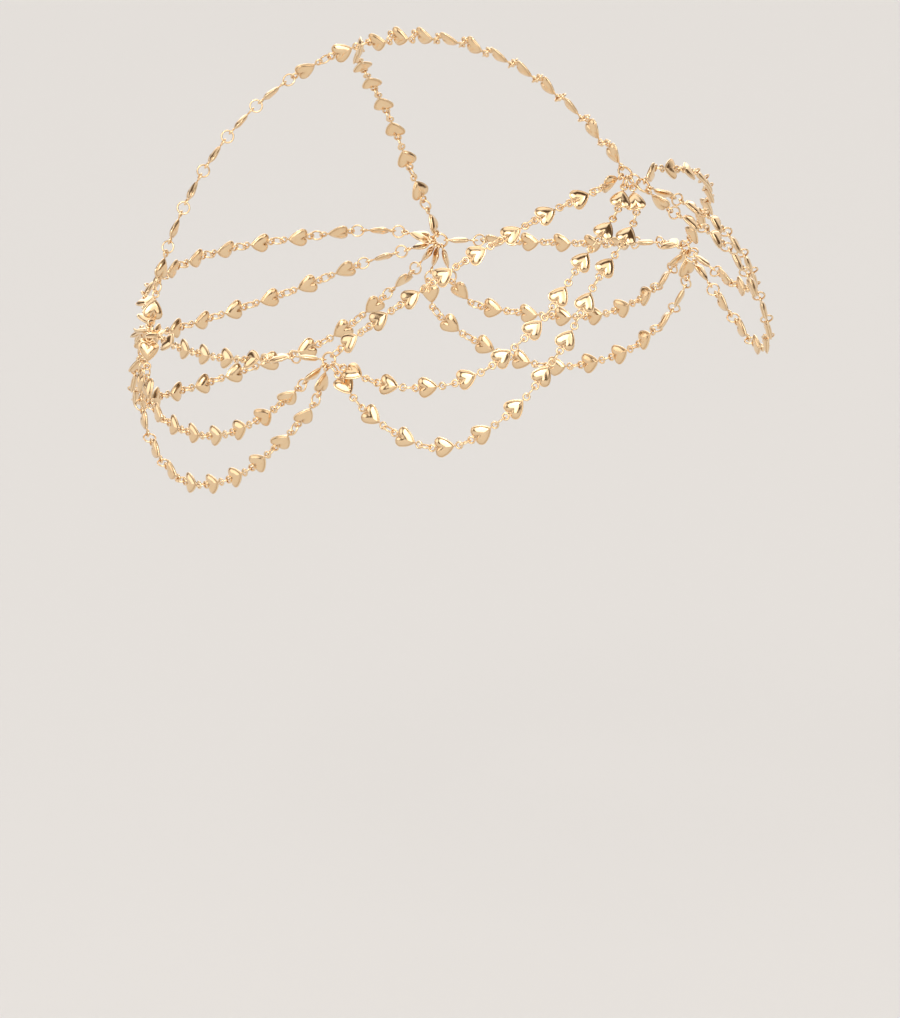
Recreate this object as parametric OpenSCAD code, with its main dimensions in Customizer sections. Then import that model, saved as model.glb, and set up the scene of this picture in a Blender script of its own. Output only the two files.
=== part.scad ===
// Head chain of heart links: three swags a panel between rings, with a crown strand
// that ends in a ring behind the crown and two rear strands.
// Frame: the front is toward -Y, +X is the left side as worn, +Z is up. Millimetres.
// The origin is the top of the head form, where the crown strand sits.

/* [Head form] */
// Width of the rounded head form that the strands lie on
head_w = 166; // [150:1:185]
// Depth of the head form, front to back
head_d = 221; // [200:1:240]
// Height of the head form
head_h = 240; // [225:1:260]
// How far the head form is bowed forward, in degrees
head_bow = 18; // [0:1:30]

/* [Heart links] */
// Width of a heart over both lobes
heart_w = 6.5; // [5.8:0.1:7.4]
// Length of a heart from its lobes to its tip
heart_l = 6.4; // [5.8:0.1:7.2]
// Thickness of a heart in the middle
heart_t = 1.9; // [1.4:0.1:2.4]
// Thickness of a heart at its rim
rim_t = 0.45; // [0.3:0.05:0.8]
// Radius of each lobe of a heart
lobe_r = 1.75; // [1.65:0.05:1.9]
// Radius of the curve down each side of a heart
side_r = 8; // [7:0.5:20]
// Wire of the eye at each end of a heart
eye_wire = 0.6; // [0.5:0.02:0.7]
// Hole of the eye at each end of a heart
eye_hole = 1.4; // [1.3:0.05:1.6]
// Neck between the tip of a heart and its eye
neck_l = 0.1; // [0.05:0.05:0.4]
// How far the middle of the other eye lies past the lobes that it sits between
notch_eye = 1; // [0.9:0.05:1.4]

/* [Small links] */
// Wire of the small round link between two hearts
link_wire = 0.55; // [0.45:0.05:0.6]
// Hole of the small round link
link_hole = 3.2; // [2.8:0.1:3.6]

/* [Rings] */
// Wire of the rings that join the strands
ring_wire = 0.75; // [0.6:0.05:0.85]
// Hole of the rings that join the strands
ring_hole = 3.9; // [3.7:0.1:5]

/* [Fit] */
// Clear space between two wires that pull on each other
play = 0.14; // [0.1:0.01:0.18]
// Thickness of a plain strand where it meets its ring
plain_end = 1.2; // [0.8:0.1:1.6]

/* [Hidden] */
$fn = 40;
eye_r = (eye_hole + eye_wire) / 2;
link_r = (link_hole + link_wire) / 2;
ring_r = (ring_hole + ring_wire) / 2;

// Top of the bowed head form, which is the origin
top_reach = norm([head_d / 2 * sin(head_bow), head_h / 2 * cos(head_bow)]);
head_top = bowed([
    0,
    pow(head_d / 2, 2) * sin(head_bow) / top_reach,
    pow(head_h / 2, 2) * cos(head_bow) / top_reach
]);

// A strand lies with its centre this far above the head form
lift = link_r + link_wire / 2;
// A heart's eyes are this far from the middle between them, and its body lies nearer to the second
hang = (eye_hole / 2 + eye_wire + neck_l + heart_l + notch_eye) / 2;
body_x = hang - notch_eye - heart_l / 2;
// A small link's wire lies this far from the middle of the eye that it pulls on
pull = eye_hole / 2 - link_wire / 2 - play;
// Distance between the eyes on either side of a small link, pulled tight
link_span = 2 * (link_r + pull);
// First eye or small link on a ring, from the ring's centre
eye_on_ring = ring_r + eye_hole / 2 - ring_wire / 2 - play;
link_on_ring = ring_r + link_hole / 2 - ring_wire / 2 - play;

// Heart outline: lobes at lobe_x, the tip at -heart_l / 2
lobe_x = heart_l / 2 - lobe_r;
lobe_y = heart_w / 2 - lobe_r;
tip_run = heart_l / 2 + lobe_x;
// Each side is a curve from the tip to just inside its lobe, round [side_x, -side_y]
inner = lobe_r * 0.985;
tip_far = norm([tip_run, lobe_y]);
side_on = (inner * (2 * side_r - inner) + tip_far * tip_far) / (2 * tip_far);
side_off = sqrt(side_r * side_r - side_on * side_on);
side_x = (side_on * tip_run + side_off * lobe_y) / tip_far - heart_l / 2;
side_y = (side_off * tip_run - side_on * lobe_y) / tip_far;
meet_x = lobe_x + inner * (lobe_x - side_x) / (side_r - inner);
meet_y = lobe_y + inner * (lobe_y + side_y) / (side_r - inner);
// The blade's inner corner lies inside the lobes, short of the notch
notch_x = lobe_x + 0.25 * lobe_r;
// The dome of each face is part of a ball centred a little toward the lobes
dome_x = 0.3;
dome_reach = max(heart_l / 2 + dome_x, norm([lobe_x - dome_x, lobe_y]) + lobe_r);
dome_h = (heart_t - rim_t) / 2;
dome_r = (dome_reach * dome_reach + dome_h * dome_h) / (2 * dome_h);

// Places on the head form are [degrees round from the front toward the right side as worn,
// degrees above the widest level]. Past 90 up, a place lies behind the crown.
ring_places = [
    ["front", [1.5, 68.5]],
    ["side", [84.7, 22.4]],
    ["back", [131.5, 1.3]],
    ["crown", [0, 130]]
];
function place_of(name) = ring_places[search([name], ring_places)[0]][1];
front_place = place_of("front");
side_place = place_of("side");
back_place = place_of("back");
crown_place = place_of("crown");
// The second front ring hangs from the first on a small link, down and to the left
front_turn = 150;
second_place = moved(front_place, front_turn, 2 * link_on_ring - play);
// The same place seen as if it were on the right, for strands that are mirrored
second_mirrored = [-second_place[0], second_place[1]];
// The crown ring's place counted round the back, for the rear strands
crown_round = [180 - crown_place[0], 180 - crown_place[1]];

// Few chosen places that each strand passes between its two rings
routes = [
    ["front_upper", [[44.5, 60.3], [63, 49.5], [74.5, 37.5], [82, 27.5]]],
    ["front_middle", [[33, 54], [46, 41], [58, 30], [71.5, 24]]],
    ["front_lower", [[28.5, 51.5], [39.4, 39], [48.5, 27.3], [59.6, 18.5], [73.4, 18.3]]],
    ["side_upper", [[90.5, 20], [103.5, 12.4], [116, 6.7], [125, 3.4]]],
    ["side_middle", [[87.5, 17], [93, 8.2], [101.5, 0.2], [113.5, -5], [125, -6.6]]],
    ["side_lower", [[84.2, 15.5], [88.2, 6.2], [95, -3.2], [106.5, -11], [120, -12.6], [130.6, -9]]],
    ["back_upper", [[142, 0.5], [160, -3], [180, -4], [200, -3], [218, 0.5]]],
    ["back_middle", [[141, -4], [159, -12], [180, -15], [201, -12], [219, -4]]],
    ["back_lower", [[137.5, -8.5], [151.5, -20], [180, -25], [208.5, -20], [222.5, -8.5]]],
    ["crown", [[0.5, 80], [0, 96], [0, 114]]],
    ["rear", [[168, 40], [151, 25], [138.5, 10]]]
];
function route_of(name) = routes[search([name], routes)[0]][1];
// First place of each front strand after its ring, where the strands fan out
right_starts = [
    ["front_upper", [20, 66.4]],
    ["front_middle", [12.8, 63.9]],
    ["front_lower", [5.6, 62.8]]
];
left_starts = [
    ["front_upper", [19, 67]],
    ["front_middle", [15, 62.5]],
    ["front_lower", [8.2, 61.5]]
];
function start_of(name, starts) = starts[search([name], starts)[0]][1];

// Head form
function unit(v) = v / norm(v);
function half_sizes(out) = [head_w / 2 + out, head_d / 2 + out, head_h / 2 + out];
function bowed(p) = [
    p[0],
    p[1] * cos(head_bow) - p[2] * sin(head_bow),
    p[1] * sin(head_bow) + p[2] * cos(head_bow)
];
function raw_point(place, out) = let(h = half_sizes(out))
    [-h[0] * cos(place[1]) * sin(place[0]), -h[1] * cos(place[1]) * cos(place[0]), h[2] * sin(place[1])];
function on_head(place) = bowed(raw_point(place, lift)) - head_top;
function outward(place) = let(p = raw_point(place, lift), h = half_sizes(lift))
    unit(bowed([p[0] / (h[0] * h[0]), p[1] / (h[1] * h[1]), p[2] / (h[2] * h[2])]));
// A place moved some millimetres along the head form, turned from straight up toward the left side
function moved(place, turn, far) = let(
    up = norm(on_head(place + [0, 0.5]) - on_head(place - [0, 0.5])),
    round = norm(on_head(place + [0.5, 0]) - on_head(place - [0.5, 0]))
) place + [-far * sin(turn) / round, far * cos(turn) / up];

// Smooth route through a list of places
steps = 12;
function spline(pts, u) = let(
    i = min(floor(u), len(pts) - 2),
    t = u - i,
    b = pts[i],
    c = pts[i + 1],
    a = i > 0 ? pts[i - 1] : 2 * b - c,
    d = i + 2 < len(pts) ? pts[i + 2] : 2 * c - b
) 0.5 * (2 * b + (c - a) * t + (2 * a - 5 * b + 4 * c - d) * t * t + (3 * b - a - 3 * c + d) * t * t * t);
function along(pts, u) = on_head(spline(pts, u));
// Pairs of [length from the start, u] down the whole route
function lengths(pts) = let(last = steps * (len(pts) - 1))
    [for (i = 0, s = 0; i <= last; i = i + 1,
        s = i > last ? s : s + norm(along(pts, i / steps) - along(pts, (i - 1) / steps))) [s, i / steps]];

// Hearts on a strand: how many, and how far apart. Where the strand lies slack its hearts slant,
// so their eyes sway this much to one side and the other, and they come closer together.
function first_eye(joined) = joined == "link" ? link_on_ring + link_span / 2 : eye_on_ring;
function heart_run(sway) = sqrt(pow(2 * hang, 2) - pow(2 * sway, 2));
function link_run(sway) = sqrt(pow(link_span, 2) - pow(2 * sway, 2));
function heart_count(room, sway) = ceil((room + link_run(sway)) / (heart_run(sway) + link_run(sway)) - 0.001);

// Turn of heart k out of the head form's surface. The turn at each end dies out over a few hearts.
function fade(k, over) = max(0, 1 - k / over);
function turn_of(k, count, turns) = turns[1] + (turns[0] - turns[1]) * fade(k, turns[4])
    + (turns[2] - turns[1]) * fade(count - 1 - k, turns[5]) + turns[3] * sin(k * 137);

// Way across a heart's width, where the strand's own way across is turned toward the outward way
function wide_way(across, out, turn) = across * cos(turn) + out * sin(turn);
// A link on a ring stands up on it, and leans this share of the turn of the heart that it holds
link_lean = 0.35;

// Frame of a piece between two points: X along the strand, Z turned from the head form's outward way
module between(a, b, out, turn) {
    x = unit(b - a);
    y0 = unit(cross(out, x));
    z0 = cross(x, y0);
    y = y0 * cos(turn) + z0 * sin(turn);
    z = cross(x, y);
    m = (a + b) / 2;
    multmatrix([
        [x[0], y[0], z[0], m[0]],
        [x[1], y[1], z[1], m[1]],
        [x[2], y[2], z[2], m[2]],
        [0, 0, 0, 1]
    ]) children();
}

// Pieces
module wire_ring(radius, wire) {
    rotate_extrude() translate([radius, 0]) circle(d = wire);
}

// Two lobes and a blade that narrows to the tip, as a thick flat heart
module heart_plate() {
    far_x = -heart_l / 2 - 1;
    translate([0, 0, -heart_t / 2]) {
        for (side = [-1, 1]) translate([lobe_x, side * lobe_y, 0]) cylinder(r = lobe_r, h = heart_t);
        intersection() {
            translate([side_x, -side_y, 0]) cylinder(r = side_r, h = heart_t, $fn = 144);
            translate([side_x, side_y, 0]) cylinder(r = side_r, h = heart_t, $fn = 144);
            linear_extrude(heart_t)
                polygon([
                    [far_x, meet_y], [meet_x, meet_y], [notch_x, 0], [meet_x, -meet_y], [far_x, -meet_y]
                ]);
        }
    }
}

// The flat heart cut to a dome on both faces
module heart_body() {
    intersection() {
        heart_plate();
        translate([dome_x, 0, heart_t / 2 - dome_r]) sphere(dome_r, $fn = 144);
        translate([dome_x, 0, dome_r - heart_t / 2]) sphere(dome_r, $fn = 144);
    }
}

// A heart with an eye soldered to its tip and one in its notch
module heart_link() {
    translate([body_x, 0, 0]) heart_body();
    for (end = [-1, 1]) translate([end * hang, 0, 0]) wire_ring(eye_r, eye_wire);
    core = hang - eye_r;
    translate([-core, 0, 0]) rotate([0, 90, 0]) cylinder(h = 2 * core, d = rim_t);
}

// The small round link, or a smaller one where two eyes leave it less room
module small_link(reach = link_span) {
    wire_ring(min(link_r, reach / 2 + pull), link_wire);
}

module join_ring(place) {
    level = unit(on_head(place + [0.5, 0]) - on_head(place - [0.5, 0]));
    between(on_head(place) - level, on_head(place) + level, outward(place), 0)
        wire_ring(ring_r, ring_wire);
}

// A strand of hearts from ring to ring. joined says what sits on each ring: "heart" or "link".
// turns holds the hearts' turn at the start, in the middle and at the end, how much it wanders,
// and over how many hearts the turns at the start and the end die out.
module strand(pts, joined, turns, sway = 0) {
    table = lengths(pts);
    whole = table[len(table) - 1][0];
    begin = first_eye(joined[0]);
    room = whole - begin - first_eye(joined[1]);
    count = heart_count(room, sway);
    run = heart_run(sway);
    pitch = (room - run) / (count - 1);
    eye = function(s) along(pts, lookup(s, table));
    out = function(s) outward(spline(pts, lookup(s, table)));
    across = function(s) unit(cross(out(s), eye(s + 0.5) - eye(s - 0.5)));
    starts = [for (k = [0:count - 1]) begin + k * pitch];
    wides = [for (k = [0:count - 1])
        wide_way(across(starts[k] + hang), out(starts[k] + hang), turn_of(k, count, turns))];
    firsts = [for (k = [0:count - 1]) eye(starts[k]) - (k > 0 ? sway : 0) * wides[k]];
    lasts = [for (k = [0:count - 1]) eye(starts[k] + run) + (k < count - 1 ? sway : 0) * wides[k]];
    middles = (firsts + lasts) / 2;
    ways = [for (k = [0:count - 1]) unit(lasts[k] - firsts[k])];
    for (k = [0:count - 1]) {
        between(middles[k] - ways[k], middles[k] + ways[k], out(starts[k] + hang), turn_of(k, count, turns))
            heart_link();
        if (k > 0) {
            a = middles[k - 1] + hang * ways[k - 1];
            b = middles[k] - hang * ways[k];
            between(a, b, wides[k - 1] + wides[k], 0)
                small_link(norm(b - a));
        }
    }
    if (joined[0] == "link") {
        between(eye(link_on_ring - link_r), middles[0] - (hang + pull) * ways[0],
            wide_way(across(link_on_ring), out(link_on_ring), link_lean * turns[0]), 0)
            small_link();
    }
    if (joined[1] == "link") {
        between(middles[count - 1] + (hang + pull) * ways[count - 1], eye(whole - link_on_ring + link_r),
            wide_way(across(whole - link_on_ring), out(whole - link_on_ring), link_lean * turns[2]), 0)
            small_link();
    }
}

// A plain tube along the route, with a section at each of its stations, [place, thickness]
module plain_tube(pts, table, stations) {
    sides = 8;
    rows = [for (st = stations) let(
        u = lookup(st[0], table),
        p = along(pts, u),
        x = unit(along(pts, u + 0.01) - along(pts, u - 0.01)),
        y = unit(cross(outward(spline(pts, u)), x)),
        z = cross(x, y)
    ) [for (i = [0:sides - 1]) p + st[1] / 2 * (y * cos(360 * i / sides) + z * sin(360 * i / sides))]];
    last = len(rows) - 1;
    polyhedron(
        points = [for (row = rows) for (p = row) p],
        faces = concat(
            [[for (i = [0:sides - 1]) i]],
            [for (r = [0:last - 1]) for (i = [0:sides - 1]) let(j = (i + 1) % sides)
                [r * sides + i, (r + 1) * sides + i, (r + 1) * sides + j, r * sides + j]],
            [[for (i = [sides - 1:-1:0]) last * sides + i]]
        )
    );
}

// A plain strand: two tubes end to end, thin at the rings, with a section at each heart's middle
module plain_strand(pts) {
    table = lengths(pts);
    whole = table[len(table) - 1][0];
    tip = ring_r + ring_wire / 2 + 3 * play;
    thick = 2 * lift;
    count = heart_count(whole - 2 * eye_on_ring, 0);
    step = (whole - 2 * tip) / count;
    half = floor((count - 1) / 2);
    plain_tube(pts, table, concat(
        [[tip, plain_end]],
        [for (k = [1:1:half]) [tip + step * k, thick]],
        [[whole / 2 - play / 2, thick]]
    ));
    plain_tube(pts, table, concat(
        [[whole / 2 + play / 2, thick]],
        [for (k = [half:-1:1]) [whole - tip - step * k, thick]],
        [[whole - tip, plain_end]]
    ));
}

// Rings
module front_ring_upper() { color("burlywood") join_ring(front_place); }
module front_ring_lower() { color("burlywood") join_ring(second_place); }
module front_ring_link() {
    a = on_head(front_place);
    b = on_head(second_place);
    color("burlywood") between(a, b, outward((front_place + second_place) / 2), 90) small_link();
}
module side_ring_right() { color("burlywood") join_ring(side_place); }
module side_ring_left() { color("burlywood") mirror([1, 0, 0]) join_ring(side_place); }
module back_ring_right() { color("burlywood") join_ring(back_place); }
module back_ring_left() { color("burlywood") mirror([1, 0, 0]) join_ring(back_place); }
module crown_ring() { color("burlywood") join_ring(crown_place); }

// Strands: the places between two rings, what joins them, and how the hearts turn
function front_right(name) =
    concat([front_place, start_of(name, right_starts)], route_of(name), [side_place]);
function front_left(name) =
    concat([second_mirrored, start_of(name, left_starts)], route_of(name), [side_place]);
function side_route(name) = concat([side_place], route_of(name), [back_place]);
function back_route(name) = concat([back_place], route_of(name), [[360 - back_place[0], back_place[1]]]);
crown_route = concat([front_place], route_of("crown"), [crown_place]);
rear_route = concat([crown_round], route_of("rear"), [back_place]);

module front_right_upper() {
    color("peachpuff") strand(front_right("front_upper"), ["heart", "link"], [-68, 0, 10, 5, 1.4, 1.3]);
}
module front_right_middle() {
    color("peachpuff") strand(front_right("front_middle"), ["link", "link"], [15, 0, 40, 5, 2, 1.3]);
}
module front_right_lower() {
    color("peachpuff") strand(front_right("front_lower"), ["link", "link"], [30, 0, 40, 5, 1.5, 1.3]);
}
module front_left_upper() {
    color("peachpuff") mirror([1, 0, 0])
        strand(front_left("front_upper"), ["heart", "link"], [-57, 0, 0, 5, 2, 1.3]);
}
module front_left_middle() {
    color("peachpuff") mirror([1, 0, 0])
        strand(front_left("front_middle"), ["heart", "link"], [62, 0, 40, 5, 1.2, 1.3]);
}
module front_left_lower() {
    color("peachpuff") mirror([1, 0, 0])
        strand(front_left("front_lower"), ["heart", "link"], [75, 0, 40, 5, 1.2, 1.3]);
}
module side_right_upper() {
    color("peachpuff") strand(side_route("side_upper"), ["heart", "heart"], [95, 0, 70, 5, 3, 1.5]);
}
module side_right_middle() {
    color("peachpuff") strand(side_route("side_middle"), ["heart", "heart"], [-96, 0, 70, 5, 2.6, 1.3]);
}
module side_right_lower() {
    color("peachpuff") strand(side_route("side_lower"), ["heart", "heart"], [-88, 0, 72, 5, 4, 1.3]);
}
module side_left_upper() { color("tan") mirror([1, 0, 0]) plain_strand(side_route("side_upper")); }
module side_left_middle() { color("tan") mirror([1, 0, 0]) plain_strand(side_route("side_middle")); }
module side_left_lower() { color("tan") mirror([1, 0, 0]) plain_strand(side_route("side_lower")); }
module back_upper() { color("tan") plain_strand(back_route("back_upper")); }
module back_middle() { color("tan") plain_strand(back_route("back_middle")); }
module back_lower() { color("tan") plain_strand(back_route("back_lower")); }
module crown_strand() {
    color("peachpuff") strand(crown_route, ["heart", "heart"], [80, 60, 80, 12, 2.6, 2.6], 1.2);
}
module rear_right_strand() {
    color("peachpuff") strand(rear_route, ["heart", "heart"], [70, 0, 85, 5, 2.6, 2.6]);
}
module rear_left_strand() { color("tan") mirror([1, 0, 0]) plain_strand(rear_route); }

front_ring_upper();
front_ring_link();
front_ring_lower();
side_ring_right();
side_ring_left();
back_ring_right();
back_ring_left();
crown_ring();
front_right_upper();
front_right_middle();
front_right_lower();
front_left_upper();
front_left_middle();
front_left_lower();
side_right_upper();
side_right_middle();
side_right_lower();
side_left_upper();
side_left_middle();
side_left_lower();
back_upper();
back_middle();
back_lower();
crown_strand();
rear_right_strand();
rear_left_strand();
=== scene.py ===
"""Head chain of puffed heart links, dressed in polished pale rose gold, in a plain soft studio.
Sizes are in millimetres, as the part's own are, and turned to metres where a mesh is made."""
import math

import bpy
import numpy as np
from mathutils import Matrix, Vector


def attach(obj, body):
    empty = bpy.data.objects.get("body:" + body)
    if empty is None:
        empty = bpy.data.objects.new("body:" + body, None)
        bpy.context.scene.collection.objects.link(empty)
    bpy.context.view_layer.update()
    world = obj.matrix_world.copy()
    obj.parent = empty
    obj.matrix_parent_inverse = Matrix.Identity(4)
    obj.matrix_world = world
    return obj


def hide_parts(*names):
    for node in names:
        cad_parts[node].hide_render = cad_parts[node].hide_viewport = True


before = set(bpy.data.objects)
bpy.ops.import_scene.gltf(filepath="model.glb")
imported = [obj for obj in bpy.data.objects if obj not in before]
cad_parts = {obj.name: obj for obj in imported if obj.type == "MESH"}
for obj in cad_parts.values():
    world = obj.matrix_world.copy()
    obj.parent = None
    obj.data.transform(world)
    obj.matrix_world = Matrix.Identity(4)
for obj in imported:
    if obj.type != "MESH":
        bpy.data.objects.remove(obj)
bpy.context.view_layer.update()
MM = 0.001

# Head form that the strands lie on: width, depth, height, and how far it is bowed forward, in degrees
head_w = 166
head_d = 221
head_h = 240
head_bow = 18

# Hearts: width, length, thickness in the middle and at the rim, and the curves of lobes, sides and tip
heart_w = 6.5
heart_l = 6.4
heart_t = 1.9
rim_t = 0.45
lobe_r = 1.75
side_r = 8
tip_r = 0.4

# Eyes at a heart's ends, small links between hearts, and the rings that join the strands
eye_wire = 0.6
eye_hole = 1.4
neck_l = 0.1
notch_eye = 1
link_wire = 0.55
link_hole = 3.2
ring_wire = 0.75
ring_hole = 3.9
# Clear space between two wires that pull on each other
play = 0.14
# Fine wires are drawn this much thicker, because their flat sides lie inside the true round
eye_swell = 1.1
link_swell = 1.08
# Steps round each wire loop, sides of its wire, and the angle of the closed-up cut in a ring, in radians
eye_steps = 22
link_steps = 26
ring_steps = 64
wire_sides = 8
ring_sides = 14
ring_cut = 0.035

eye_r = (eye_hole + eye_wire) / 2
link_r = (link_hole + link_wire) / 2
ring_r = (ring_hole + ring_wire) / 2
# A strand lies with its centre this far above the head form
lift = link_r + link_wire / 2
# A heart's eyes are this far from the middle between them, and its body lies nearer to the second
hang = (eye_hole / 2 + eye_wire + neck_l + heart_l + notch_eye) / 2
body_x = hang - notch_eye - heart_l / 2
# Distances of wires that pull on each other, along a strand and on a ring
pull = eye_hole / 2 - link_wire / 2 - play
link_span = 2 * (link_r + pull)
eye_on_ring = ring_r + eye_hole / 2 - ring_wire / 2 - play
link_on_ring = ring_r + link_hole / 2 - ring_wire / 2 - play
# A link on a ring leans by this share of the turn of the heart that it holds
link_lean = 0.35

# Places on the head form: degrees round from the front toward the right side, degrees up
front_place = np.array([1.5, 68.5])
side_place = np.array([84.7, 22.4])
back_place = np.array([131.5, 1.3])
crown_place = np.array([0.0, 130.0])
front_turn = 150
# Few chosen places that each strand passes between its two rings
routes = {
    "front_upper": [[44.5, 60.3], [63, 49.5], [74.5, 37.5], [82, 27.5]],
    "front_middle": [[33, 54], [46, 41], [58, 30], [71.5, 24]],
    "front_lower": [[28.5, 51.5], [39.4, 39], [48.5, 27.3], [59.6, 18.5], [73.4, 18.3]],
    "side_upper": [[90.5, 20], [103.5, 12.4], [116, 6.7], [125, 3.4]],
    "side_middle": [[87.5, 17], [93, 8.2], [101.5, 0.2], [113.5, -5], [125, -6.6]],
    "side_lower": [[84.2, 15.5], [88.2, 6.2], [95, -3.2], [106.5, -11], [120, -12.6], [130.6, -9]],
    "back_upper": [[142, 0.5], [160, -3], [180, -4], [200, -3], [218, 0.5]],
    "back_middle": [[141, -4], [159, -12], [180, -15], [201, -12], [219, -4]],
    "back_lower": [[137.5, -8.5], [151.5, -20], [180, -25], [208.5, -20], [222.5, -8.5]],
    "crown": [[0.5, 80], [0, 96], [0, 114]],
    "rear": [[168, 40], [151, 25], [138.5, 10]],
}
# First place of each front strand after its ring, where the strands fan out
right_starts = {"front_upper": [20, 66.4], "front_middle": [12.8, 63.9], "front_lower": [5.6, 62.8]}
left_starts = {"front_upper": [19, 67], "front_middle": [15, 62.5], "front_lower": [8.2, 61.5]}
# A route is measured in this many steps from each place to the next
route_steps = 12
# Each heart's own small turn goes round by this angle, in degrees, so that no two alike are neighbours
turn_step = 137


# Head form
def unit(v):
    return v / np.linalg.norm(v)


def bowed(p):
    c, s = math.cos(math.radians(head_bow)), math.sin(math.radians(head_bow))
    return np.array([p[0], p[1] * c - p[2] * s, p[1] * s + p[2] * c])


def half_sizes(out):
    return np.array([head_w / 2 + out, head_d / 2 + out, head_h / 2 + out])


def raw_point(place):
    lon, lat = math.radians(place[0]), math.radians(place[1])
    around = np.array([-math.cos(lat) * math.sin(lon), -math.cos(lat) * math.cos(lon), math.sin(lat)])
    return half_sizes(lift) * around


def top_of_head():
    c, s = math.cos(math.radians(head_bow)), math.sin(math.radians(head_bow))
    reach = math.hypot(head_d / 2 * s, head_h / 2 * c)
    return bowed([0, (head_d / 2) ** 2 * s / reach, (head_h / 2) ** 2 * c / reach])


head_top = top_of_head()


def on_head(place):
    return bowed(raw_point(place)) - head_top


def outward(place):
    h = half_sizes(lift)
    return unit(bowed(raw_point(place) / (h * h)))


def moved(place, turn, far):
    """A place moved some millimetres along the head form, turned from straight up toward the left side."""
    up = np.linalg.norm(on_head(place + [0, 0.5]) - on_head(place - [0, 0.5]))
    level = np.linalg.norm(on_head(place + [0.5, 0]) - on_head(place - [0.5, 0]))
    t = math.radians(turn)
    return place + [-far * math.sin(t) / level, far * math.cos(t) / up]


# The second front ring hangs from the first on a small link. Mirrored strands see it on the right.
second_place = moved(front_place, front_turn, 2 * link_on_ring - play)
second_mirrored = second_place * [-1, 1]
# The crown ring's place counted round the back, for the rear strands
crown_round = np.array([180, 180]) - crown_place


# Strands
def spline(pts, u):
    """Smooth route through a list of places. A whole u is a place."""
    i = min(int(u), len(pts) - 2)
    t = u - i
    b, c = pts[i], pts[i + 1]
    a = pts[i - 1] if i > 0 else 2 * b - c
    d = pts[i + 2] if i + 2 < len(pts) else 2 * c - b
    return 0.5 * (2 * b + (c - a) * t + (2 * a - 5 * b + 4 * c - d) * t * t
                  + (3 * b - a - 3 * c + d) * t * t * t)


def frame_between(a, b, out, turn):
    """X along the piece, Z turned from the outward way by some degrees, the origin halfway."""
    x = unit(b - a)
    y0 = unit(np.cross(out, x))
    z0 = np.cross(x, y0)
    t = math.radians(turn)
    y = y0 * math.cos(t) + z0 * math.sin(t)
    m = np.eye(4)
    m[:3, 0], m[:3, 1], m[:3, 2], m[:3, 3] = x, y, np.cross(x, y), (a + b) / 2
    return m


def fade(k, over):
    return max(0, 1 - k / over)


def turn_of(k, count, turns):
    """Turn of heart k. turns holds the turn at the first end, in the middle and at the last end,
    each heart's own share, and over how many hearts the turn at each end dies out."""
    first, middle, last, own, first_over, last_over = turns
    return (middle + (first - middle) * fade(k, first_over)
            + (last - middle) * fade(count - 1 - k, last_over) + own * math.sin(math.radians(k * turn_step)))


def wide_way(across, out, turn):
    t = math.radians(turn)
    return across * math.cos(t) + out * math.sin(t)


def strand_places(pts, joined, turns, sway=0.0):
    """Frames of the hearts, and (frame, radius) of the small links, down one strand.

    joined says what hangs on the ring at each end. sway moves a slack heart's eyes off the route."""
    pts = [np.array(p, float) for p in pts]
    us = [i / route_steps for i in range(route_steps * (len(pts) - 1) + 1)]
    way = np.array([on_head(spline(pts, u)) for u in us])
    run_to = np.concatenate([[0], np.cumsum(np.linalg.norm(np.diff(way, axis=0), axis=1))])
    whole = run_to[-1]

    def place(s):
        return spline(pts, np.interp(s, run_to, us))

    def eye(s):
        return on_head(place(s))

    def out(s):
        return outward(place(s))

    def across(s):
        return unit(np.cross(out(s), eye(s + 0.5) - eye(s - 0.5)))

    def first_eye(kind):
        return link_on_ring + link_span / 2 if kind == "link" else eye_on_ring

    begin = first_eye(joined[0])
    room = whole - begin - first_eye(joined[1])
    run = math.sqrt((2 * hang) ** 2 - (2 * sway) ** 2)
    link_run = math.sqrt(link_span ** 2 - (2 * sway) ** 2)
    # A strand that is full but for a thousandth of a heart takes no further heart
    count = math.ceil((room + link_run) / (run + link_run) - 0.001)
    pitch = (room - run) / (count - 1)
    starts = [begin + k * pitch for k in range(count)]
    heart_turns = [turn_of(k, count, turns) for k in range(count)]
    wides = [wide_way(across(s + hang), out(s + hang), turn) for s, turn in zip(starts, heart_turns)]
    hearts, links = [], []
    middles, ways = [], []
    for k, s in enumerate(starts):
        first = eye(s) - (sway if k > 0 else 0) * wides[k]
        last = eye(s + run) + (sway if k < count - 1 else 0) * wides[k]
        middles.append((first + last) / 2)
        ways.append(unit(last - first))
    for k, s in enumerate(starts):
        first, last = middles[k] - ways[k], middles[k] + ways[k]
        hearts.append(frame_between(first, last, out(s + hang), heart_turns[k]))
        if k > 0:
            a = middles[k - 1] + hang * ways[k - 1]
            b = middles[k] - hang * ways[k]
            radius = min(link_r, np.linalg.norm(b - a) / 2 + pull)
            links.append((frame_between(a, b, wides[k - 1] + wides[k], 0), radius))
    if joined[0] == "link":
        s = link_on_ring
        lean = wide_way(across(s), out(s), link_lean * turns[0])
        held = middles[0] - (hang + pull) * ways[0]
        links.append((frame_between(eye(s - link_r), held, lean, 0), link_r))
    if joined[1] == "link":
        s = whole - link_on_ring
        lean = wide_way(across(s), out(s), link_lean * turns[2])
        held = middles[-1] + (hang + pull) * ways[-1]
        links.append((frame_between(held, eye(s + link_r), lean, 0), link_r))
    return hearts, links


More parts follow.
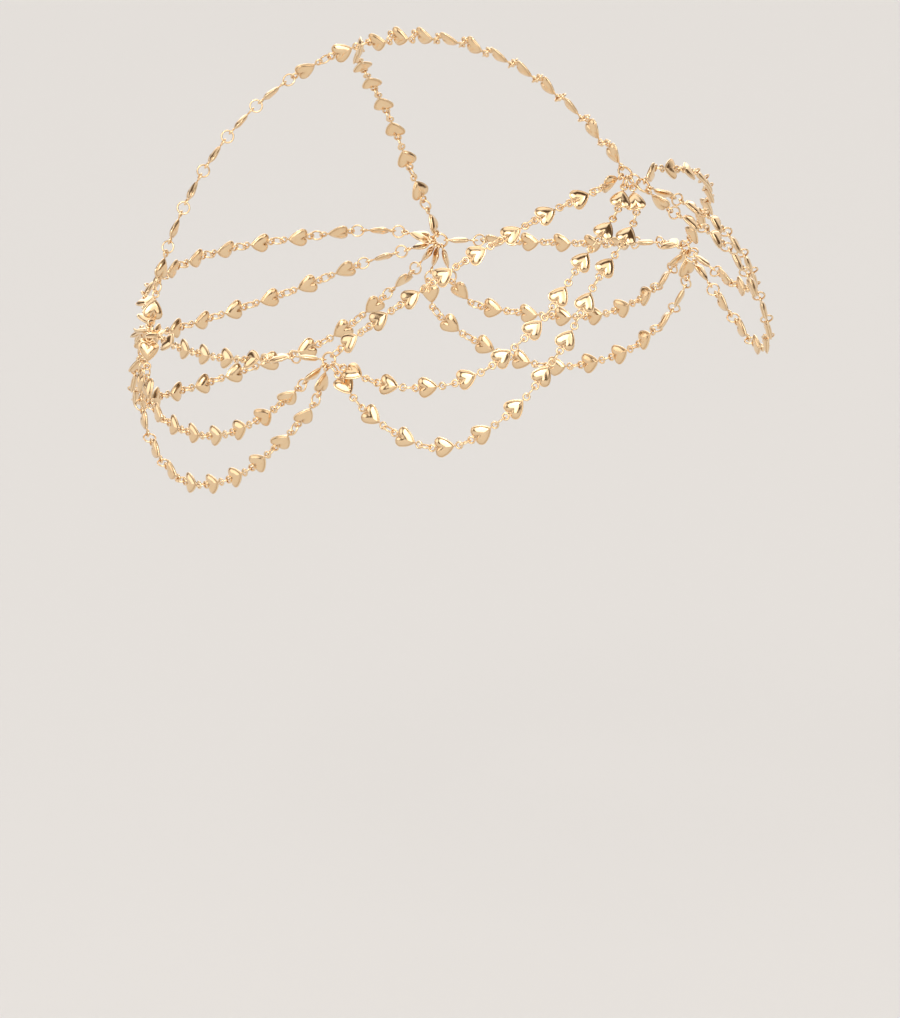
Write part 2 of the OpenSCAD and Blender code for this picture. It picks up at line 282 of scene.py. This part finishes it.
# Shapes, as (points, faces, wear, painted shade): wear is 1 on rubbed edges, painted shade is 1 in grooves,
# where shade is painted darker into the colour
def torus(radius, wire, around, sides, gap=0.0):
    """A round wire ring in the XY plane. gap is the angle left open at a cut, at +Y."""
    rub = 0.35
    # Painted shade on the inner side of the wire, inside the loop, at most this much
    shade_inside = 0.5
    closed = gap == 0
    count = around if closed else around + 1
    pts, faces, wear, painted_shade = [], [], [], []
    for i in range(count):
        a = math.pi / 2 + gap / 2 + (2 * math.pi - gap) * i / around
        for j in range(sides):
            b = 2 * math.pi * j / sides
            r = radius + wire / 2 * math.cos(b)
            pts.append([r * math.cos(a), r * math.sin(a), wire / 2 * math.sin(b)])
            wear.append(rub + rub * math.cos(b))
            painted_shade.append(shade_inside * max(0, -math.cos(b)))
    for i in range(around):
        n = (i + 1) % count
        for j in range(sides):
            k = (j + 1) % sides
            faces.append([i * sides + j, n * sides + j, n * sides + k, i * sides + k])
    if not closed:
        faces.append([j for j in range(sides)])
        faces.append([around * sides + j for j in range(sides - 1, -1, -1)])
    return np.array(pts), faces, np.array(wear), np.array(painted_shade)


def arc(centre, radius, first, last, count):
    """Points on an arc, its last point left out."""
    angles = np.linspace(first, last, count + 1)[:-1]
    return [centre + radius * np.array([math.cos(t), math.sin(t)]) for t in angles]


def heart_outline():
    """Points round the heart from its tip: a curved side, a lobe, the notch, and the same back."""
    tip_steps = 4
    side_steps = 8
    lobe_steps = 15
    lobe = np.array([heart_l / 2 - lobe_r, heart_w / 2 - lobe_r])
    reach = lobe + [heart_l / 2, 0]
    far = np.linalg.norm(reach)
    on = (lobe_r * (2 * side_r - lobe_r) + far * far) / (2 * far)
    off = math.sqrt(side_r * side_r - on * on)
    side = np.array([
        (on * reach[0] + off * reach[1]) / far - heart_l / 2,
        (on * reach[1] - off * reach[0]) / far,
    ])
    tip = np.array([side[0] - math.sqrt((side_r - tip_r) ** 2 - side[1] ** 2), 0])
    leave = math.atan2(-side[1], tip[0] - side[0])
    meet = math.atan2(lobe[1] - side[1], lobe[0] - side[0])
    notch = -math.pi / 2 + math.acos(lobe[1] / lobe_r)
    half = arc(tip, tip_r, math.pi, leave, tip_steps)
    half += arc(side, side_r, leave, meet, side_steps)
    half += arc(lobe, lobe_r, meet, notch, lobe_steps)
    half.append(lobe + lobe_r * np.array([math.cos(notch), math.sin(notch)]))
    half[-1][1] = 0.0
    return np.array(half + [p * [1, -1] for p in half[-2:0:-1]])


# Rows of a heart's face inside its rim line: how far in, height as a share of the rim's, wear, painted shade
# in the groove
rim_rows = [
    (0.04, 0.4, 1.0, 0.0),
    (0.18, 0.5, 0.7, 0.0),
    (0.25, 0.47, 0.1, 0.7),
    (0.3, 0.52, 0.0, 1.0),
]
# Rows of the dome inside the groove, as shares of the way from the middle of the face
dome_rows = (0.965, 0.91, 0.83, 0.73, 0.61, 0.47, 0.32, 0.16)
# How flat the dome is in its middle, and how round its side is
dome_flat = 2.4
dome_round = 0.7
# Middle of a face, a little toward the lobes
face_x = 0.15
# The dip from the notch: its half width, depth as a share, and where and over what length it starts
dip_w = 0.42
dip_deep = 0.6
dip_x = 0.2
dip_run = 1.7
# The lobes puff up by this share, over this spread in square millimetres
puff_up = 0.1
puff_wide = 0.7


def heart_shape():
    """A puffed heart with a thin flat rim, a groove inside it, two soft lobes and a dip at the notch."""
    line = heart_outline()
    n = len(line)
    centre = np.array([face_x, 0.0])
    along = np.roll(line, -1, 0) - np.roll(line, 1, 0)
    along /= np.linalg.norm(along, axis=1)[:, None]
    spoke = line - centre
    spoke /= np.linalg.norm(spoke, axis=1)[:, None]
    lean = np.clip(np.abs(along[:, 0] * spoke[:, 1] - along[:, 1] * spoke[:, 0]), 0.6, 1)

    def inset(width):
        return line - spoke * (width / lean)[:, None]

    rings = [(line, 0.0, 1.0, 0.0)]
    rings += [(inset(width), rim_t * high, w, t) for width, high, w, t in rim_rows]
    groove_row = len(rings) - 1
    groove = rings[groove_row][0]
    rise = heart_t / 2 - rim_t / 2
    for share in dome_rows:
        height = (1 - share ** dome_flat) ** dome_round
        row = centre + (groove - centre) * share
        # The foot of the dome, beside the groove, gets painted shade
        rings.append((row, rim_t / 2 + rise * height, 0.2 * height, 0.7 * (1 - height) ** 3))
    lobe_x, lobe_y = heart_l / 2 - lobe_r, heart_w / 2 - lobe_r
    pts, wear, painted_shade = [], [], []
    for side in (1, -1):
        for index, (ring, z, w, t) in enumerate(rings):
            if index == 0 and side == -1:
                continue
            for x, y in ring:
                dip, puff = 0, 0
                if index > groove_row:
                    dip = math.exp(-(y / dip_w) ** 2) * min(1, max(0, (x - dip_x) / dip_run)) ** 1.5
                    puff = puff_up * math.exp(-((x - lobe_x) ** 2 + (abs(y) - lobe_y) ** 2) / puff_wide)
                above = z - rim_t / 2
                pts.append([x, y, side * (z + puff * above - dip_deep * dip * above)])
                wear.append(w)
                # Painted shade deepens in the dip at the notch
                painted_shade.append(min(1, t + 0.8 * dip))
        pts.append([centre[0], centre[1], side * heart_t / 2])
        wear.append(0.2)
        painted_shade.append(0.0)
    faces = []
    count = len(rings)
    top_centre = count * n
    start = top_centre + 1

    def row_start(side, index):
        if side == 1:
            return index * n
        return 0 if index == 0 else start + (index - 1) * n

    for side in (1, -1):
        for index in range(count - 1):
            a, b = row_start(side, index), row_start(side, index + 1)
            for i in range(n):
                j = (i + 1) % n
                quad = [a + i, a + j, b + j, b + i]
                faces.append(quad if side == -1 else quad[::-1])
        last = row_start(side, count - 1)
        middle = top_centre if side == 1 else start + (count - 1) * n
        for i in range(n):
            j = (i + 1) % n
            tri = [last + i, last + j, middle]
            faces.append(tri if side == -1 else tri[::-1])
    return np.array(pts), faces, np.array(wear), np.array(painted_shade)


def joined(shapes):
    pts, faces, wear, painted_shade, base = [], [], [], [], 0
    for p, f, w, t in shapes:
        pts.append(p)
        wear.append(w)
        painted_shade.append(t)
        faces.extend([[v + base for v in face] for face in f])
        base += len(p)
    return np.concatenate(pts), faces, np.concatenate(wear), np.concatenate(painted_shade)


def shifted(shape, dx, turn=0.0):
    p, f, w, t = shape
    c, s = math.cos(turn), math.sin(turn)
    return np.stack([p[:, 0] * c - p[:, 1] * s + dx, p[:, 0] * s + p[:, 1] * c, p[:, 2]], 1), f, w, t


def placed(shape, m):
    p, f, w, t = shape
    return p @ m[:3, :3].T + m[:3, 3], f, w, t


def neck(x0, x1, r0, r1):
    """The soldered neck between a heart and its eye, from x0 to x1, a little waisted."""
    sides = 8
    waist = 0.92
    wear = 0.2
    # The neck between heart and eye is painted in shade
    painted_shade = 0.8
    pts, faces = [], []
    for x, r in ((x0, r0), ((x0 + x1) / 2, min(r0, r1) * waist), (x1, r1)):
        for j in range(sides):
            b = 2 * math.pi * j / sides
            pts.append([x, r * math.cos(b), r * math.sin(b)])
    for i in range(2):
        for j in range(sides):
            k = (j + 1) % sides
            faces.append([i * sides + j, i * sides + k, (i + 1) * sides + k, (i + 1) * sides + j])
    faces.append(list(range(sides - 1, -1, -1)))
    faces.append([2 * sides + j for j in range(sides)])
    return np.array(pts), faces, np.full(len(pts), wear), np.full(len(pts), painted_shade)


def heart_with_eyes():
    """One stamped heart with an eye soldered at its tip and another between its lobes."""
    eye_shape = torus(eye_r, eye_swell * eye_wire, eye_steps, wire_sides)
    notch_x = body_x + heart_l / 2 - lobe_r + math.sqrt(lobe_r ** 2 - (heart_w / 2 - lobe_r) ** 2)
    tip_x = body_x - heart_l / 2
    # How far the necks run into the eyes, the tip and the notch
    into_eye = 0.1
    into_tip = 0.6
    into_notch = 0.5
    # How thick the necks are, half across, at the heart and at each eye
    heart_end = 0.24
    tip_eye_end = 0.27
    notch_eye_end = 0.3
    return joined([
        shifted(heart_shape(), body_x),
        shifted(eye_shape, -hang),
        shifted(eye_shape, hang),
        neck(-hang + eye_r + into_eye, tip_x + into_tip, tip_eye_end, heart_end),
        neck(notch_x - into_notch, hang - eye_r - into_eye, heart_end, notch_eye_end),
    ])


heart_piece = heart_with_eyes()


# Materials
def metal(name, colour, shade_colour, rough, grain):
    """Polished plating: rubbed paler on edges, painted shade (darker and warmer) and duller in grooves, with
    faint pits and swirls.
    """
    mat = bpy.data.materials.new(name)
    mat.use_nodes = True
    nodes, links = mat.node_tree.nodes, mat.node_tree.links
    bsdf = nodes["Principled BSDF"]
    bsdf.inputs["Metallic"].default_value = 1.0
    coords = nodes.new("ShaderNodeTexCoord")

    def attribute(key):
        node = nodes.new("ShaderNodeAttribute")
        node.attribute_name = key
        return node.outputs["Fac"]

    def noise(scale, detail):
        node = nodes.new("ShaderNodeTexNoise")
        node.inputs["Scale"].default_value = scale
        node.inputs["Detail"].default_value = detail
        links.new(coords.outputs["Object"], node.inputs["Vector"])
        return node.outputs["Fac"]

    def mix(factor, a, b):
        node = nodes.new("ShaderNodeMix")
        node.data_type = "RGBA"
        for socket, value in ((node.inputs[0], factor), (node.inputs[6], a), (node.inputs[7], b)):
            if isinstance(value, bpy.types.NodeSocket):
                links.new(value, socket)
            else:
                socket.default_value = value
        return node.outputs[2]

    def span(value, low, high, to_low, to_high):
        node = nodes.new("ShaderNodeMapRange")
        links.new(value, node.inputs[0])
        for index, number in enumerate((low, high, to_low, to_high), 1):
            node.inputs[index].default_value = number
        return node.outputs[0]

    def add(a, b):
        node = nodes.new("ShaderNodeMath")
        node.operation = "ADD"
        links.new(a, node.inputs[0])
        links.new(b, node.inputs[1])
        return node.outputs[0]

    def toned(shares):
        return (*[c * k for c, k in zip(colour, shares)], 1)

    wear = attribute("wear")
    painted_shade = attribute("painted_shade")
    tone = attribute("tone")
    cloud = noise(900, 3)
    pits = noise(grain, 2)

    # Each piece has its own tone, clouded here and there
    body = mix(span(tone, 0, 1, 0, 0.5), (*colour, 1), toned((0.97, 0.9, 0.82)))
    body = mix(span(cloud, 0.35, 0.75, 0, 0.35), body, toned((0.93, 0.84, 0.74)))
    # Edges are rubbed paler, and grooves are painted dark with shade
    pale = tuple(min(1, c * 1.05 + 0.03) for c in colour)
    body = mix(span(wear, 0.3, 1, 0, 0.6), body, (*pale, 1))
    body = mix(span(painted_shade, 0, 1, 0, 0.75), body, (*shade_colour, 1))
    links.new(body, bsdf.inputs["Base Color"])
    dull = add(span(cloud, 0.3, 0.8, rough, rough + 0.09), span(painted_shade, 0, 1, 0, 0.2))
    links.new(dull, bsdf.inputs["Roughness"])
    bump = nodes.new("ShaderNodeBump")
    bump.inputs["Strength"].default_value = 0.35
    bump.inputs["Distance"].default_value = 0.00003
    links.new(pits, bump.inputs["Height"])
    links.new(bump.outputs["Normal"], bsdf.inputs["Normal"])
    return mat


# Each metal: its colour, the colour of the painted shade in grooves, roughness and pit scale
link_metal = metal("rose_gold_links", (0.96, 0.735, 0.47), (0.36, 0.17, 0.06), 0.11, 1800)
ring_metal = metal("rose_gold_rings", (0.95, 0.71, 0.44), (0.36, 0.17, 0.06), 0.14, 2600)


# Pieces
def make_mesh(name, pieces, mat, node, mirrored=False):
    """One mesh of many small pieces, in place of a node. Each piece has its own tone."""
    pts, faces, wear, painted_shade = joined(pieces)
    rng = np.random.default_rng(sum(ord(c) for c in name))
    tone = np.concatenate([np.full(len(p[0]), rng.uniform(0, 1)) for p in pieces])
    if mirrored:
        pts = pts * [-1, 1, 1]
        faces = [f[::-1] for f in faces]
    mesh = bpy.data.meshes.new(name)
    mesh.from_pydata((pts * MM).tolist(), [], faces)
    mesh.polygons.foreach_set("use_smooth", np.ones(len(mesh.polygons), bool))
    for key, values in (("wear", wear), ("painted_shade", painted_shade), ("tone", tone)):
        attribute = mesh.attributes.new(key, "FLOAT", "POINT")
        attribute.data.foreach_set("value", values.astype(np.float32))
    mesh.materials.append(mat)
    mesh.update()
    obj = bpy.data.objects.new(name, mesh)
    bpy.context.scene.collection.objects.link(obj)
    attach(obj, "root")
    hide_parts(node)


def make_strand(node, pts, ends, turns, sway=0.0, mirrored=False):
    hearts, links = strand_places(pts, ends, turns, sway)
    pieces = [placed(heart_piece, m) for m in hearts]
    for m, radius in links:
        pieces.append(placed(torus(radius, link_swell * link_wire, link_steps, wire_sides), m))
    make_mesh("chain_" + node, pieces, link_metal, node, mirrored)


def make_ring(node, place, seam, mirrored=False):
    """A jump ring with its cut closed up, turned so that the cut lies between two strands."""
    level = unit(on_head(place + [0.5, 0]) - on_head(place - [0.5, 0]))
    m = frame_between(on_head(place) - level, on_head(place) + level, outward(place), 0)
    ring = shifted(torus(ring_r, ring_wire, ring_steps, ring_sides, gap=ring_cut), 0, math.radians(seam))
    make_mesh("round_" + node, [placed(ring, m)], ring_metal, node, mirrored)


def make_ring_link():
    """The small link that the second front ring hangs on."""
    out = outward((front_place + second_place) / 2)
    m = frame_between(on_head(front_place), on_head(second_place), out, 90)
    link = placed(torus(link_r, link_wire, link_steps, wire_sides), m)
    make_mesh("round_front_ring_link", [link], ring_metal, "front_ring_link")


def front_right(name):
    return [front_place, right_starts[name], *routes[name], side_place]


def front_left(name):
    return [second_mirrored, left_starts[name], *routes[name], side_place]


def side_route(name):
    return [side_place, *routes[name], back_place]


def back_route(name):
    return [back_place, *routes[name], [360 - back_place[0], back_place[1]]]


crown_route = [front_place, *routes["crown"], crown_place]
rear_route = [crown_round, *routes["rear"], back_place]

# What hangs on the ring at each end of a strand
hearts_only = ("heart", "heart")
heart_then_link = ("heart", "link")
links_only = ("link", "link")
right_ends = {"upper": heart_then_link, "middle": links_only, "lower": links_only}

# Turns of each strand's hearts, in degrees and in hearts, as turn_of takes them
right_turns = {
    "upper": (-68, 0, 10, 5, 1.4, 1.3),
    "middle": (15, 0, 40, 5, 2, 1.3),
    "lower": (30, 0, 40, 5, 1.5, 1.3),
}
left_turns = {
    "upper": (-57, 0, 0, 5, 2, 1.3),
    "middle": (62, 0, 40, 5, 1.2, 1.3),
    "lower": (75, 0, 40, 5, 1.2, 1.3),
}
side_turns = {
    "upper": (95, 0, 70, 5, 3, 1.5),
    "middle": (-96, 0, 70, 5, 2.6, 1.3),
    "lower": (-88, 0, 72, 5, 4, 1.3),
}
rear_turns = (70, 0, 85, 5, 2.6, 2.6)
back_turns = (85, 0, 85, 5, 2.6, 2.6)
crown_turns = (80, 60, 80, 12, 2.6, 2.6)
crown_sway = 1.2

for level, turns in right_turns.items():
    make_strand(f"front_right_{level}", front_right(f"front_{level}"), right_ends[level], turns)
for level, turns in left_turns.items():
    make_strand(f"front_left_{level}", front_left(f"front_{level}"), heart_then_link, turns, mirrored=True)
for hand in ("right", "left"):
    left = hand == "left"
    for level, turns in side_turns.items():
        make_strand(f"side_{hand}_{level}", side_route(f"side_{level}"), hearts_only, turns, mirrored=left)
    make_strand(f"rear_{hand}_strand", rear_route, hearts_only, rear_turns, mirrored=left)
for level in ("upper", "middle", "lower"):
    make_strand(f"back_{level}", back_route(f"back_{level}"), hearts_only, back_turns)
make_strand("crown_strand", crown_route, hearts_only, crown_turns, sway=crown_sway)

make_ring("front_ring_upper", front_place, 75)
make_ring("front_ring_lower", second_place, 130)
make_ring("side_ring_right", side_place, -20)
make_ring("side_ring_left", side_place, -20, mirrored=True)
make_ring("back_ring_right", back_place, 20)
make_ring("back_ring_left", back_place, 20, mirrored=True)
make_ring("crown_ring", crown_place, 90)
make_ring_link()


# Studio, in metres
def make_floor(z, half, tone):
    plane = bpy.data.meshes.new("floor")
    corners = [(-half, -half, z), (half, -half, z), (half, half, z), (-half, half, z)]
    plane.from_pydata(corners, [], [(0, 1, 2, 3)])
    floor = bpy.data.objects.new("floor", plane)
    bpy.context.scene.collection.objects.link(floor)
    paint = bpy.data.materials.new("floor_paint")
    paint.use_nodes = True
    shader = paint.node_tree.nodes["Principled BSDF"]
    shader.inputs["Base Color"].default_value = (tone, tone, tone, 1)
    shader.inputs["Roughness"].default_value = 0.9
    plane.materials.append(paint)


# The dim room behind the panels
room_colour = (0.12, 0.075, 0.045)
room_strength = 0.7
# Bright parts of the sky: the way to the middle, the angles of edge and core, strength, colour
sky_patches = [
    ((0.8, 0.45, 0.12), 60, 34, 0.8, (1, 0.98, 0.95)),
    ((-0.85, -0.5, 0.6), 38, 24, 2.1, (1, 0.98, 0.95)),
    ((-0.7, 0.72, 0.3), 34, 20, 1.3, (1, 0.98, 0.95)),
    ((0.1, -0.9, 0.5), 30, 18, 1.3, (1, 0.96, 0.91)),
    ((0.1, 0.3, 1), 36, 18, 1.1, (1, 0.99, 0.97)),
    ((0.8, 0.75, 0.45), 32, 20, 1.2, (1, 0.97, 0.93)),
]


def make_sky():
    """A dim warm room with soft bright panels, which the metal reflects."""
    world = bpy.data.worlds.new("studio")
    bpy.context.scene.world = world
    world.use_nodes = True
    nodes, links = world.node_tree.nodes, world.node_tree.links
    coords = nodes.new("ShaderNodeTexCoord")

    def soft_patch(toward, edge, core, strength, colour):
        """Light from one part of the sky: full inside the core angle, gone at the edge angle."""
        dot = nodes.new("ShaderNodeVectorMath")
        dot.operation = "DOT_PRODUCT"
        links.new(coords.outputs["Generated"], dot.inputs[0])
        dot.inputs[1].default_value = Vector(toward).normalized()
        ease = nodes.new("ShaderNodeMapRange")
        ease.interpolation_type = "SMOOTHSTEP"
        links.new(dot.outputs["Value"], ease.inputs[0])
        ease.inputs[1].default_value = math.cos(math.radians(edge))
        ease.inputs[2].default_value = math.cos(math.radians(core))
        ease.inputs[3].default_value = 0
        ease.inputs[4].default_value = strength
        patch = nodes.new("ShaderNodeBackground")
        patch.inputs["Color"].default_value = (*colour, 1)
        links.new(ease.outputs[0], patch.inputs["Strength"])
        return patch

    total = nodes["Background"]
    total.inputs["Color"].default_value = (*room_colour, 1)
    total.inputs["Strength"].default_value = room_strength
    for row in sky_patches:
        both = nodes.new("ShaderNodeAddShader")
        links.new(total.outputs[0], both.inputs[0])
        links.new(soft_patch(*row).outputs[0], both.inputs[1])
        total = both
    links.new(total.outputs[0], nodes["World Output"].inputs["Surface"])


def area_light(name, place, size, power, colour):
    aim = Vector((0, 0.01, -0.07))
    light = bpy.data.lights.new(name, "AREA")
    light.shape = "RECTANGLE"
    light.size, light.size_y = size
    light.energy = power
    light.color = colour
    obj = bpy.data.objects.new(name, light)
    obj.location = place
    obj.rotation_euler = (aim - Vector(place)).to_track_quat("-Z", "Y").to_euler()
    bpy.context.scene.collection.objects.link(obj)


make_floor(z=-0.33, half=14, tone=0.7)
make_sky()
area_light("key", (-2.4, -1.2, 2.4), (0.7, 0.7), 14, (1, 0.98, 0.95))
area_light("fill", (1.2, -2.8, 1.6), (0.4, 1.2), 5, (1, 0.97, 0.93))

# Camera, at the photograph's angle, with its long lens: distance, scale at the part, height in pixels
camera_far = 5.2848
metres_a_pixel = 0.000311
photo_high = 1018
sensor_high = 24
# Point that the photograph's frame was fitted round, and how far its middle lies from there
fitted_point = Vector((0.0, 0.0054, -0.11912))
middle_right = -0.00156
middle_up = -0.0299


def make_camera():
    right = Vector((0.7055, -0.7087, 0.0))
    back = Vector((-0.6704, -0.6674, 0.3243)).normalized()
    right = (right - back * right.dot(back)).normalized()
    up = back.cross(right)
    target = fitted_point + right * middle_right + up * middle_up
    camera = bpy.data.cameras.new("photo")
    camera.sensor_fit = "VERTICAL"
    camera.sensor_height = sensor_high
    camera.lens = sensor_high / 2 / (photo_high * metres_a_pixel / 2 / camera_far)
    camera.clip_end = 60
    obj = bpy.data.objects.new("photo", camera)
    turned = Matrix((right, up, back)).transposed().to_4x4()
    obj.matrix_world = Matrix.Translation(target + back * camera_far) @ turned
    bpy.context.scene.collection.objects.link(obj)
    bpy.context.scene.camera = obj


make_camera()
bpy.context.scene.view_settings.view_transform = "Standard"
